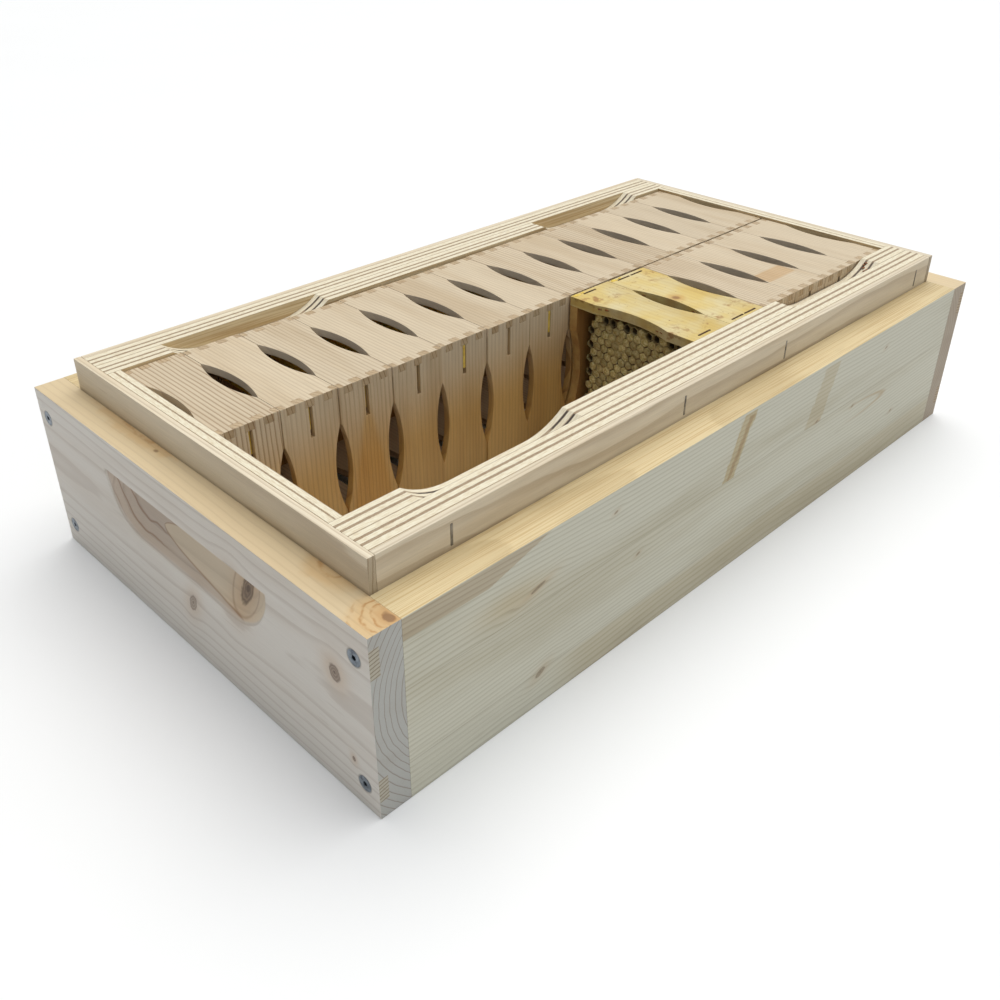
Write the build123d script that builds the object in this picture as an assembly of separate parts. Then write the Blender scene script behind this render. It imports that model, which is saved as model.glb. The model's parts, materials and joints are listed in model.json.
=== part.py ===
"""Shallow hive super with a lined rim, holding two rows of small section frames for comb honey.

The outer box is four pine boards. A lining of thin strips and plywood stands inside it, lifted so
that it makes a rim above the boards and leaves a recess below them for the rim of the box beneath.
Frame: +X along the long side, +Y to the back, +Z up, origin at the centre of the bottom.
"""
from build123d import *
import os
from math import sqrt

# Outer box
BOX_LENGTH = 508.0
BOX_WIDTH = 286.0
BOARD_HEIGHT = 99.5
END_BOARD = 16.8          # thickness of the two end boards
SIDE_BOARD = 19.4         # thickness of the two long boards
RIM_RISE = 18.0           # how far the lining stands above the boards, and the recess below it

# Lining
STRIP = 4.0               # thin strips against the boards
END_PLY = 7.5             # one sheet at each end
SIDE_PLY = 13.0           # each of the two sheets at each long side
SCOOP_LENGTH = 103.0      # finger recess in the inner long sheets
SCOOP_DEPTH = 8.8
SCOOP_RADIUS = 47.4       # the rounded ends of a finger recess
SCOOP_CENTRES = (-144.0, 147.0)

# Handhold in each end board
HOLD_CAP = 41.0           # half the straight length of the dished cut
HOLD_DROP = 31.0          # from its top shoulder down to where it runs out
HOLD_DEPTH = 11.0
HOLD_TOP = 80.0

# Fasteners
SCREW_HEIGHTS = (14.0, 84.0)
SCREW_HEAD = 4.1          # radii and lengths
SCREW_SHANK = 2.0
SCREW_HEAD_DEPTH = 2.6
SCREW_LENGTH = 50.0
SCREW_TIP = 6.0
DRIVE_WIDTH = 1.3
DRIVE_DEPTH = 1.8
STAPLE_WIRE = 1.2
STAPLE_CROWN = 11.0
STAPLE_LEG = 14.0
STAPLE_PLACES = (-193.0, -32.0, 62.0, 217.0)
STAPLE_MIDDLE = 107.0

# Rails that carry the section frames
RAIL_THICKNESS = 2.7
SIDE_RAIL = 12.0
MIDDLE_RAIL = 22.0

# Section frames
PLACES = 13               # places in each row
PITCH = 34.7
FRAME_DEPTH = 34.4        # along X
FRAME_WIDTH = 91.6        # along Y
FRAME_HEIGHT = 95.0
FRAME_BOTTOM = 21.0
BAR = 4.5                 # thickness of the four bars
USED_BAR = 6.0            # the older frames that hold comb have thicker bars
PASS_HALF = 26.5          # bee passage: half its length, and the depth of each hollowed edge
PASS_DEPTH = 4.8
FINGER = 5.4              # tongues of the top and bottom bars
FINGER_PITCH = 11.3
SLOT_WIDTH = 2.4          # slot for the wax in the side bars
SLOT_BOTTOM = 22.0        # below the top of the frame
# The rows stand a little uneven: where each frame's face towards the seam lies along Y
BACK_FRONT_FACES = (1.7, 1.3, 0.3, -0.6, 0.2, -0.6, -0.3, 0.4, 0.6, 0.3, 0.5, 0.2, 0.4)
FRONT_BACK_FACES = (-1.0, -1.4, -0.9, -1.1, -1.3, -1.0)
FRONT_FIRST = 8           # the first filled place of the front row
USED_STAPLES = {8: (-3.5,), 9: (-6.3, 6.3)}   # older frames by front place, with their staples
CROWN = 11.0              # staples across the ends of an older frame's top bar
CROWN_WIRE = 1.0
CROWN_INSET = 3.5
CROWN_PROUD = 0.3
CROWN_LEG = 12.0

# Wax
WAX_THICKNESS = 1.6
WAX_HEIGHT = 14.0
WAX_LENGTH = 87.0
WAX_LENGTH_LONG = 91.0    # strips that reach the outside of the slots
LONG_WAX_PLACES = (5, 7)  # in the back row
COMB_THICKNESS = 24.0
COMB_CORNER = 9.0

END = BOX_LENGTH / 2
SIDE = BOX_WIDTH / 2
STRIP_X = END - END_BOARD                 # outer faces of the strips
STRIP_Y = SIDE - SIDE_BOARD
PLY_X = STRIP_X - STRIP
PLY_Y = STRIP_Y - STRIP
INNER_X = PLY_X - END_PLY                 # the clear space for the frames
INNER_Y = PLY_Y - 2 * SIDE_PLY
LINING = (RIM_RISE, RIM_RISE + BOARD_HEIGHT)
SCREW_Y = SIDE - SIDE_BOARD / 2


def block(x, y, z):
    """Box from three (low, high) pairs."""
    size = [high - low for low, high in (x, y, z)]
    middle = [(high + low) / 2 for low, high in (x, y, z)]
    return Pos(*middle) * Box(*size)


def span(a, b):
    return (min(a, b), max(a, b))


def save(name, *solids):
    for solid in solids:
        solid.label = name
    shape = solids[0] if len(solids) == 1 else Compound(label=name, children=list(solids))
    export_step(shape, f"parts/{name}.step")


def handhold(side):
    """Dished cutter, deepest under its top shoulder and running out at the bottom and the ends."""
    radius = (HOLD_DROP**2 + HOLD_DEPTH**2) / (2 * HOLD_DEPTH)
    centre = side * (END + radius - HOLD_DEPTH)
    cutter = Pos(centre, 0, HOLD_TOP) * Rot(90, 0, 0) * Cylinder(radius, 2 * HOLD_CAP)
    for end in (-1, 1):
        cutter += Pos(centre, end * HOLD_CAP, HOLD_TOP) * Sphere(radius)
    reach = HOLD_CAP + HOLD_DROP + 1
    keep = block(span(side * (END + 1), side * (END - HOLD_DEPTH - 1)), (-reach, reach),
                 (HOLD_TOP - HOLD_DROP - 1, HOLD_TOP))
    return cutter & keep


def screw_body(oversize=0.0):
    """Countersunk screw along +X from its head's face at the origin."""
    head = SCREW_HEAD + oversize
    shank = SCREW_SHANK + oversize
    outline = Polyline((0, 0), (0, head), (SCREW_HEAD_DEPTH, shank), (SCREW_LENGTH - SCREW_TIP, shank),
                       (SCREW_LENGTH, 0.3), (SCREW_LENGTH, 0), close=True)
    return revolve(make_face(outline), axis=Axis.X)


def screw():
    body = screw_body()
    for turn in (0, 60, 120):
        body -= Rot(turn, 0, 0) * block((-1, DRIVE_DEPTH), (-DRIVE_WIDTH, DRIVE_WIDTH), (-0.45, 0.45))
    return body


def screw_places(side):
    """The four screw positions of one end, each pointing into the box."""
    turn = Rot(0, 0, 0) if side < 0 else Rot(0, 0, 180)
    return [Pos(side * END, y, z) * turn for y in (-SCREW_Y, SCREW_Y) for z in SCREW_HEIGHTS]


def screw_holes(side):
    hole = screw_body(0.05)
    return [place * hole for place in screw_places(side)]


def end_board(side):
    board = block(span(side * STRIP_X, side * END), (-SIDE, SIDE), (0, BOARD_HEIGHT))
    board -= handhold(side)
    for hole in screw_holes(side):
        board -= hole
    return board


def side_board(side):
    board = block((-STRIP_X, STRIP_X), span(side * STRIP_Y, side * SIDE), (0, BOARD_HEIGHT))
    for hole in screw_holes(-1) + screw_holes(1):
        board -= hole
    return board


def staple_tool(side):
    """One wire staple with its crown upright, driven flush with the outside of a long strip."""
    outer = side * STRIP_Y
    back = side * (STRIP_Y - STAPLE_WIRE)
    deep = side * (STRIP_Y - STAPLE_LEG)
    half = STAPLE_WIRE / 2
    low = STAPLE_MIDDLE - STAPLE_CROWN / 2
    high = STAPLE_MIDDLE + STAPLE_CROWN / 2
    staple = block((-half, half), span(outer, back), (low, high))
    for z in ((low, low + STAPLE_WIRE), (high - STAPLE_WIRE, high)):
        staple += block((-half, half), span(outer, deep), z)
    return staple


def staples(side):
    return [Pos(x, 0, 0) * staple_tool(side) for x in STAPLE_PLACES]


def drilled_for_staples(board, side):
    for staple in staples(side):
        board -= staple
    return board


def scoop(side):
    """Finger recess cutter: a flat floor with a large round at each end, open at the top."""
    floor = LINING[1] - SCOOP_DEPTH
    run = sqrt(SCOOP_RADIUS**2 - (SCOOP_RADIUS - SCOOP_DEPTH)**2)
    flat = SCOOP_LENGTH / 2 - run
    cutter = block((-flat, flat), (-SIDE_PLY, SIDE_PLY), (floor, floor + 2 * SCOOP_RADIUS))
    for end in (-flat, flat):
        cutter += Pos(end, 0, floor + SCOOP_RADIUS) * Rot(90, 0, 0) * Cylinder(SCOOP_RADIUS, 2 * SIDE_PLY)
    return Pos(0, side * INNER_Y, 0) * cutter


def inner_sheet(side):
    sheet = block((-PLY_X, PLY_X), span(side * INNER_Y, side * (INNER_Y + SIDE_PLY)), LINING)
    for x in SCOOP_CENTRES:
        sheet -= Pos(x, 0, 0) * scoop(side)
    return sheet


def rail(y):
    z = (RIM_RISE, RIM_RISE + RAIL_THICKNESS)
    return block((-PLY_X, PLY_X), y, z)


def rails():
    """The front, back and middle rails, let into the bottom edges of the end sheets."""
    half = MIDDLE_RAIL / 2
    return {
        "support_rail_front": rail((-INNER_Y, -INNER_Y + SIDE_RAIL)),
        "support_rail_back": rail((INNER_Y - SIDE_RAIL, INNER_Y)),
        "support_rail_middle": rail((-half, half)),
    }


def end_sheet(side):
    sheet = block(span(side * INNER_X, side * PLY_X), (-INNER_Y, INNER_Y), LINING)
    for strip in rails().values():
        sheet -= strip
    return sheet


def bar_blank(length, thickness=BAR):
    """Flat bar along Y with both long edges hollowed into half a bee passage."""
    radius = (PASS_HALF**2 + PASS_DEPTH**2) / (2 * PASS_DEPTH)
    centre = FRAME_DEPTH / 2 - PASS_DEPTH + radius
    outline = Rectangle(FRAME_DEPTH, length)
    outline -= Pos(centre, 0) * Circle(radius)
    outline -= Pos(-centre, 0) * Circle(radius)
    return extrude(outline, amount=thickness)


def fingers(y, z):
    return [block((x - FINGER / 2, x + FINGER / 2), y, z) for x in (-FINGER_PITCH, 0, FINGER_PITCH)]


def cross_bar(bottom):
    """Top or bottom bar, with three tongues at each end."""
    bar = Pos(0, FRAME_WIDTH / 2, bottom) * bar_blank(FRAME_WIDTH - 2 * BAR)
    for y in ((0, BAR), (FRAME_WIDTH - BAR, FRAME_WIDTH)):
        for tongue in fingers(y, (bottom, bottom + BAR)):
            bar += tongue
    return bar


def side_bar(front):
    """Upright bar, notched for the tongues and slotted for the wax."""
    y = (front, front + BAR)
    bar = Pos(0, front + BAR, FRAME_HEIGHT / 2) * Rot(90, 0, 0) * bar_blank(FRAME_HEIGHT)
    for z in ((0, BAR), (FRAME_HEIGHT - BAR, FRAME_HEIGHT)):
        for notch in fingers(y, z):
            bar -= notch
    half = SLOT_WIDTH / 2
    bar -= block((-half, half), y, (FRAME_HEIGHT - SLOT_BOTTOM, FRAME_HEIGHT - BAR))
    return bar


def section_bars():
    """The four finger-jointed bars of one section frame, from its front bottom edge."""
    return [cross_bar(FRAME_HEIGHT - BAR), cross_bar(0), side_bar(0), side_bar(FRAME_WIDTH - BAR)]


def used_section_bars():
    """An older frame: its top and bottom bars lap over plain side bars."""
    laps = [Pos(0, FRAME_WIDTH / 2, z) * bar_blank(FRAME_WIDTH, USED_BAR)
            for z in (FRAME_HEIGHT - USED_BAR, 0)]
    uprights = [Pos(0, y, FRAME_HEIGHT / 2) * Rot(90, 0, 0)
                * bar_blank(FRAME_HEIGHT - 2 * USED_BAR, USED_BAR) for y in (USED_BAR, FRAME_WIDTH)]
    return laps + uprights


def section_staple(x, y):
    """Staple driven down through the top bar of an older frame into a side bar."""
    top = FRAME_HEIGHT + CROWN_PROUD
    half = CROWN_WIRE / 2
    wide = (y - half, y + half)
    staple = block((x - CROWN / 2, x + CROWN / 2), wide, (top - CROWN_WIRE, top))
    for leg in (x - CROWN / 2 + half, x + CROWN / 2 - half):
        staple += block((leg - half, leg + half), wide, (top - CROWN_LEG, top))
    return staple


def starter_strip(length):
    """Strip of wax foundation hanging in the two slots."""
    half = WAX_THICKNESS / 2
    top = FRAME_HEIGHT - BAR
    gap = (FRAME_WIDTH - length) / 2
    return block((-half, half), (gap, FRAME_WIDTH - gap), (top - WAX_HEIGHT, top))


def honeycomb():
    """Slab of built comb that fills the inside of an older frame."""
    half = COMB_THICKNESS / 2
    slab = block((-half, half), (USED_BAR, FRAME_WIDTH - USED_BAR), (USED_BAR, FRAME_HEIGHT - USED_BAR))
    return fillet(slab.edges().filter_by(Axis.X), COMB_CORNER)


def frame_place(place, front):
    """Location of the frame in a place counted from the left, with its front face at y = front."""
    first = -PITCH * (PLACES - 1) / 2
    return Pos(first + PITCH * (place - 1), front, FRAME_BOTTOM)


def save_used_section(place, front):
    where = frame_place(place, front)
    ends = (CROWN_INSET, FRAME_WIDTH - CROWN_INSET)
    save(f"section_frame_front_{place:02d}", *[where * bar for bar in used_section_bars()])
    save(f"honeycomb_front_{place:02d}", where * honeycomb())
    save(f"section_staples_front_{place:02d}",
         *[where * section_staple(x, y) for x in USED_STAPLES[place] for y in ends])


def save_section(row, place, front):
    where = frame_place(place, front)
    save(f"section_frame_{row}_{place:02d}", *[where * bar for bar in section_bars()])
    long_strip = row == "back" and place in LONG_WAX_PLACES
    length = WAX_LENGTH_LONG if long_strip else WAX_LENGTH
    save(f"starter_strip_{row}_{place:02d}", where * starter_strip(length))


def save_box():
    for side, name in ((-1, "left"), (1, "right")):
        save(f"end_board_{name}", end_board(side))
        strip = block(span(side * PLY_X, side * STRIP_X), (-STRIP_Y, STRIP_Y), LINING)
        save(f"rim_strip_{name}", strip)
        save(f"ply_end_{name}", end_sheet(side))
    for side, name in ((-1, "front"), (1, "back")):
        save(f"side_board_{name}", side_board(side))
        strip = block((-PLY_X, PLY_X), span(side * PLY_Y, side * STRIP_Y), LINING)
        save(f"rim_strip_{name}", drilled_for_staples(strip, side))
        outer = block((-PLY_X, PLY_X), span(side * (PLY_Y - SIDE_PLY), side * PLY_Y), LINING)
        save(f"ply_outer_{name}", drilled_for_staples(outer, side))
        save(f"ply_inner_{name}", inner_sheet(side))
    for name, solid in rails().items():
        save(name, solid)
    save("box_screws", *[place * screw() for side in (-1, 1) for place in screw_places(side)])
    save("rim_staples", *staples(-1), *staples(1))


def save_sections():
    for place, front in enumerate(BACK_FRONT_FACES, start=1):
        save_section("back", place, front)
    for place, back in enumerate(FRONT_BACK_FACES, start=FRONT_FIRST):
        if place in USED_STAPLES:
            save_used_section(place, back - FRAME_WIDTH)
        else:
            save_section("front", place, back - FRAME_WIDTH)


os.makedirs("parts", exist_ok=True)
save_box()
save_sections()
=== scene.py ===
"""The looks of the shallow hive super: wood, plywood, wax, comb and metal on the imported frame."""
import json
import math
import random

import bmesh
import bpy
from mathutils import Matrix, Vector


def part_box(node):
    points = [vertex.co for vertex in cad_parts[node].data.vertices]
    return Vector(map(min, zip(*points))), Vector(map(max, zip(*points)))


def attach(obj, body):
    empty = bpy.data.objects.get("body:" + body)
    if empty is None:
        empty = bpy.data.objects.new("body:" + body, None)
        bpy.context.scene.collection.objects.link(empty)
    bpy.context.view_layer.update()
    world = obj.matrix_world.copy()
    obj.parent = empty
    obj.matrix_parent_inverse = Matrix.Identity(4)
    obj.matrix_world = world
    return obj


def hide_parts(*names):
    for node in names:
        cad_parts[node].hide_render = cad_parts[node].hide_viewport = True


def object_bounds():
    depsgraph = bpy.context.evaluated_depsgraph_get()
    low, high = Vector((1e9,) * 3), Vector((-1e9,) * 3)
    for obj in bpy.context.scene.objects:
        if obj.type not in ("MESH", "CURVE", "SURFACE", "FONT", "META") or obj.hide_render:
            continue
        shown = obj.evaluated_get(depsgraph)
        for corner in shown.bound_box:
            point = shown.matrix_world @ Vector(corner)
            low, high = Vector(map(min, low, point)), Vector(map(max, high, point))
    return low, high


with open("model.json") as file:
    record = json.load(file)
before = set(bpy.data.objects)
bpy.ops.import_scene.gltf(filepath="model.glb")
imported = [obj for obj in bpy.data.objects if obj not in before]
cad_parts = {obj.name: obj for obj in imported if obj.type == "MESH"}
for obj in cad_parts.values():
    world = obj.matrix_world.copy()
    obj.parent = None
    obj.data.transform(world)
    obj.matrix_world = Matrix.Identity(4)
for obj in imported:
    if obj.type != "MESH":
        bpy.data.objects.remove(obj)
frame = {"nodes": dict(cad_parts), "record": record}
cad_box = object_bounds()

MM = 0.001
BODY_OF = {n: b for b, ns in frame["record"]["behaviour"]["bodies"].items() for n in ns}
SLOT_OF = {part["node"]: part["material_slot"] for part in frame["record"]["subparts"]}
NODES = sorted(frame["nodes"])
AXES = {"X": (0, 1, 2), "Y": (1, 0, 2), "Z": (2, 0, 1)}   # along the grain, then the two across it


def box_mm(node):
    low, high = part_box(node)
    return low / MM, high / MM


BOARD_LOW, BOARD_HIGH = box_mm("side_board_front")
RIM_LOW, RIM_HIGH = box_mm("ply_inner_front")
END_LOW, END_HIGH = box_mm("ply_end_right")
BACK_SHEET = box_mm("ply_inner_back")[0]
LEFT_LOW = box_mm("end_board_left")[0]
SHEET = RIM_HIGH.y - RIM_LOW.y           # thickness of one long plywood sheet
SHEETS_START = BACK_SHEET.y              # distance of the inner sheets' faces from the middle
END_SHEET = END_HIGH.x - END_LOW.x
END_START = END_LOW.x


# ---------------------------------------------------------------- node trees

class Graph:
    """A material's node tree, with short calls for the nodes used here."""

    def __init__(self, material):
        material.use_nodes = True
        self.tree = material.node_tree
        self.tree.nodes.clear()

    def feed(self, socket, value):
        if isinstance(value, bpy.types.NodeSocket):
            self.tree.links.new(value, socket)
        else:
            socket.default_value = value

    def node(self, kind, inputs=None, **settings):
        node = self.tree.nodes.new("ShaderNode" + kind)
        for key, value in settings.items():
            setattr(node, key, value)
        for key, value in (inputs or {}).items():
            self.feed(node.inputs[key], value)
        return node

    def math(self, operation, *values, clamp=False):
        inputs = dict(enumerate(values))
        return self.node("Math", inputs, operation=operation, use_clamp=clamp).outputs[0]

    def add(self, *values):
        total = values[0]
        for value in values[1:]:
            total = self.math("ADD", total, value)
        return total

    def sub(self, a, b):
        return self.math("SUBTRACT", a, b)

    def mul(self, *values):
        total = values[0]
        for value in values[1:]:
            total = self.math("MULTIPLY", total, value)
        return total

    def length(self, a, b):
        return self.math("SQRT", self.add(self.mul(a, a), self.mul(b, b)))

    def rise(self, value, low, high):
        """0 below low and 1 above high, with a smooth step between."""
        inputs = {0: value, 1: low, 2: high, 3: 0.0, 4: 1.0}
        return self.node("MapRange", inputs, interpolation_type="SMOOTHSTEP").outputs[0]

    def fall(self, value, low, high):
        return self.sub(1.0, self.rise(value, low, high))

    def within(self, value, low, high, soft):
        """1 between low and high, with soft ends."""
        return self.mul(self.rise(value, low - soft, low + soft), self.fall(value, high - soft, high + soft))

    def point(self, x, y, z):
        return self.node("CombineXYZ", {0: x, 1: y, 2: z}).outputs[0]

    def split(self, vector):
        node = self.node("SeparateXYZ", {0: vector})
        return [node.outputs[i] for i in range(3)]

    def vector(self, operation, a, b):
        return self.node("VectorMath", {0: a, 1: b}, operation=operation).outputs[0]

    def noise(self, vector, scale=1.0, detail=2.0, rough=0.5, bend=0.0):
        inputs = {"Vector": vector, "Scale": scale, "Detail": detail, "Roughness": rough, "Distortion": bend}
        return self.node("TexNoise", inputs).outputs[0]

    def mix(self, factor, a, b, blend="MIX"):
        node = self.node("Mix", data_type="RGBA", blend_type=blend, clamp_factor=True)
        self.feed(node.inputs[0], factor)
        self.feed(node.inputs[6], a)
        self.feed(node.inputs[7], b)
        return node.outputs[2]

    def attribute(self, name, output):
        return self.node("Attribute", attribute_name=name).outputs[output]

    def place(self):
        """The point in millimetres in the object's own frame."""
        coordinates = self.node("TexCoord").outputs["Object"]
        return self.vector("MULTIPLY", coordinates, (1000.0, 1000.0, 1000.0))

    def facing(self):
        """The surface's own direction as three numbers."""
        return self.split(self.node("TexCoord").outputs["Normal"])

    def finish(self, colour, roughness, height=None, depth=0.0002, strength=0.5, **shader):
        node = self.node("BsdfPrincipled")
        self.feed(node.inputs["Base Color"], colour)
        self.feed(node.inputs["Roughness"], roughness)
        for key, value in shader.items():
            node.inputs[key.replace("_", " ")].default_value = value
        if height is not None:
            bump = self.node("Bump", {"Strength": strength, "Distance": depth, "Height": height})
            self.feed(node.inputs["Normal"], bump.outputs[0])
        out = self.node("OutputMaterial")
        self.feed(out.inputs[0], node.outputs[0])
        return node


def rgb(red, green, blue):
    """A colour from its 0 to 255 display values."""
    def linear(value):
        value /= 255
        return value / 12.92 if value <= 0.04045 else ((value + 0.055) / 1.055)**2.4
    return (linear(red), linear(green), linear(blue), 1.0)


def new_material(name):
    material = bpy.data.materials.new(name)
    return material, Graph(material)


# ---------------------------------------------------------------- wood

class Wood:
    """Solid wood: growth rings about a pith, so that faces, edges and ends all agree."""

    def __init__(self, name, grain, pith, pitch, spread=0.0, warp=5.0, wander=0.0035, levels=(), crisp=0.4):
        self.material, g = new_material(name)
        self.g = g
        middle = g.attribute("middle", "Vector")
        self.seed = g.attribute("board", "Fac")
        self.figure = g.attribute("figure", "Fac")
        where = g.vector("SUBTRACT", g.place(), middle)
        order = AXES[grain]
        parts = g.split(where)
        self.along, self.across, self.high = [parts[i] for i in order]
        self.end_facing = g.math("ABSOLUTE", g.facing()[order[0]])
        self.steps = 0.0
        for level in levels:
            self.steps = g.add(self.steps, g.math("GREATER_THAN", self.high, level))
        self.key = g.add(g.mul(self.seed, 3.0), self.steps)
        luck = g.split(g.node("TexWhiteNoise", {"W": self.key}, noise_dimensions="1D").outputs["Color"])
        self.luck = luck
        self.pith_across = g.add(pith[0], g.mul(g.sub(luck[0], 0.5), spread))
        self.pith_high = g.add(pith[1], g.mul(g.sub(luck[1], 0.5), spread))
        self.pitch = pitch
        self.warp = warp
        self.wander = wander
        self.crisp = crisp
        self.knot_colour = rgb(128, 88, 56)
        self.bend = 0.0
        self.knot = 0.0
        self.knot_edge = 0.0
        self.halo = 0.0
        self.marks = []

    def add_knot(self, u, t, long, tall, lean=0.0, reach=2.6, strength=1.0):
        """A knot through the board, with its grain flowing round it. u is along the grain, t across."""
        g = self.g
        du = g.sub(self.along, u)
        dt = g.sub(self.high, t)
        turned_u = g.add(g.mul(du, math.cos(lean)), g.mul(dt, math.sin(lean)))
        turned_t = g.sub(g.mul(dt, math.cos(lean)), g.mul(du, math.sin(lean)))
        ragged = g.mul(g.sub(g.noise(g.point(du, dt, 0.0), 0.35, 2.0), 0.5), 0.5)
        distance = g.add(g.length(g.mul(turned_u, 1.0 / long), g.mul(turned_t, 1.0 / tall)), ragged)
        around = g.math("EXPONENT", g.mul(distance, distance, -1.0 / reach**2))
        self.bend = g.add(self.bend, g.mul(dt, around, -0.85 * strength))
        inside = g.fall(distance, 0.8, 1.05)
        rings = g.math("SINE", g.mul(distance, 15.0))
        core = g.fall(distance, 0.1, 0.35)
        shade = g.add(0.72, g.mul(rings, 0.14), g.mul(core, 0.3))
        self.knot = g.math("MAXIMUM", self.knot, g.mul(inside, shade, strength))
        edge = g.mul(g.rise(distance, 0.7, 0.95), g.fall(distance, 0.95, 1.25))
        self.knot_edge = g.math("MAXIMUM", self.knot_edge, g.mul(edge, strength))
        glow = g.math("EXPONENT", g.mul(distance, distance, -0.16))
        self.halo = g.math("MAXIMUM", self.halo, g.mul(glow, strength))

    def mark(self, mask, colour, blend="MIX"):
        self.marks.append((mask, colour, blend))

    def rings(self):
        """How much late wood there is, from 0 to 1."""
        g = self.g
        offset = g.mul(self.key, 47.3)
        slow = g.point(g.mul(g.add(self.along, offset), self.wander),
                       g.mul(self.across, self.wander), g.mul(g.add(self.high, offset), self.wander * 4))
        drift = g.mul(g.sub(g.noise(slow, 1.0, 2.0), 0.5), self.warp * 2)
        quick = g.point(g.mul(self.along, 0.03), g.mul(self.across, 0.06), g.mul(self.high, 0.18))
        wobble = g.mul(g.sub(g.noise(quick, 1.0, 2.0), 0.5), 0.9)
        dv = g.sub(self.across, self.pith_across)
        dw = g.sub(g.add(self.high, self.bend), self.pith_high)
        radius = g.add(g.length(dv, dw), drift, wobble)
        uneven = g.mul(g.noise(g.point(g.mul(radius, 0.05), 0.0, self.key), 1.0, 1.0), self.pitch * 2)
        phase = g.math("FRACT", g.mul(g.add(radius, uneven), 1.0 / self.pitch))
        return g.mul(g.rise(phase, self.crisp, 0.9), g.fall(phase, 0.93, 1.0))

    def paint(self, light, dark, warm, end_colour, contrast=0.6, fibre=0.1, roughness=0.58, relief=0.00012):
        g = self.g
        late = self.rings()
        ends = g.rise(self.end_facing, 0.75, 0.95)
        thin = g.math("POWER", late, 4.0)
        line = g.add(g.mul(late, g.sub(1.0, ends)), g.mul(thin, ends))
        strength = g.mul(line, g.add(contrast, g.mul(self.figure, 0.5), g.mul(ends, 0.6)))
        fine = g.point(g.mul(self.along, 0.05), g.mul(self.across, 1.5), g.mul(self.high, 1.5))
        fibres = g.noise(fine, 1.0, 3.0, 0.6)
        long = g.point(g.mul(self.along, 0.006), g.mul(self.across, 0.05), g.mul(self.high, 0.05))
        clouds = g.noise(g.vector("ADD", long, g.point(self.key, self.key, self.key)), 1.0, 3.0, 0.55)
        colour = g.mix(strength, light, dark)
        colour = g.mix(g.mul(g.rise(clouds, 0.42, 0.75), 0.45), colour, warm, "MULTIPLY")
        tone = g.add(0.93, g.mul(self.luck[2], 0.1), g.mul(g.sub(fibres, 0.5), fibre * 2))
        colour = g.mix(1.0, colour, g.point(tone, tone, tone), "MULTIPLY")
        resin = g.mul(g.rise(g.noise(g.vector("MULTIPLY", fine, (0.8, 0.6, 0.6)), 1.0, 1.0), 0.7, 0.78), 0.28)
        colour = g.mix(resin, colour, dark)
        for mask, stain, blend in self.marks:
            colour = g.mix(mask, colour, stain, blend)
        colour = g.mix(g.mul(self.halo, 0.45), colour, rgb(222, 180, 128), "MULTIPLY")
        colour = g.mix(self.knot, colour, self.knot_colour)
        colour = g.mix(g.mul(self.knot_edge, 0.55), colour, rgb(84, 58, 42))
        colour = g.mix(ends, colour, end_colour, "MULTIPLY")
        height = g.add(g.mul(late, 0.35), g.mul(fibres, 0.8), g.mul(self.knot, 0.5))
        rough = g.add(roughness, g.mul(g.sub(fibres, 0.5), 0.18), g.mul(late, -0.06))
        g.finish(colour, rough, height, relief, 0.45)
        return self.material


def screw_stains(wood, places):
    """A faint dark ring of bruised wood round each screw."""
    g = wood.g
    for u, t in places:
        distance = g.length(g.sub(wood.along, u), g.sub(wood.high, t))
        wood.mark(g.mul(g.within(distance, 3.4, 4.6, 0.5), 0.5), rgb(105, 95, 85), "MULTIPLY")


def swirl(wood, top, centre, reach, pitch, stretch, core=0.0):
    """Grain circling a knot on the board's top edge, warm inside, stretched along the board."""
    g = wood.g
    x, y = g.split(g.place())[:2]
    wavy = g.noise(g.point(g.mul(x, 0.09), g.mul(y, 0.09), 0.0), 1.0, 3.0)
    bend = g.mul(g.sub(wavy, 0.5), 4.0 + reach * 0.3)
    distance = g.add(g.length(g.sub(x, centre[0]), g.mul(g.sub(y, centre[1]), 1.0 / stretch)), bend)
    inside = g.mul(top, g.fall(distance, reach * 0.6, reach))
    wood.mark(g.mul(inside, 0.4), rgb(246, 214, 156), "MULTIPLY")
    ring = g.math("FRACT", g.mul(distance, 1.0 / pitch))
    broken = g.rise(g.noise(g.point(g.mul(x, 0.2), g.mul(y, 0.2), 5.0)), 0.3, 0.6)
    wood.mark(g.mul(inside, g.within(ring, 0.45, 0.45 + 0.9 / pitch, 0.12), broken, 0.8), rgb(176, 124, 62))
    if core > 0.0:
        wood.mark(g.mul(top, g.fall(distance, core, core * 2.2), 0.6), rgb(190, 146, 92))
        wood.mark(g.mul(top, g.fall(distance, core * 0.5, core), 0.8), rgb(128, 92, 60))


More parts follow.
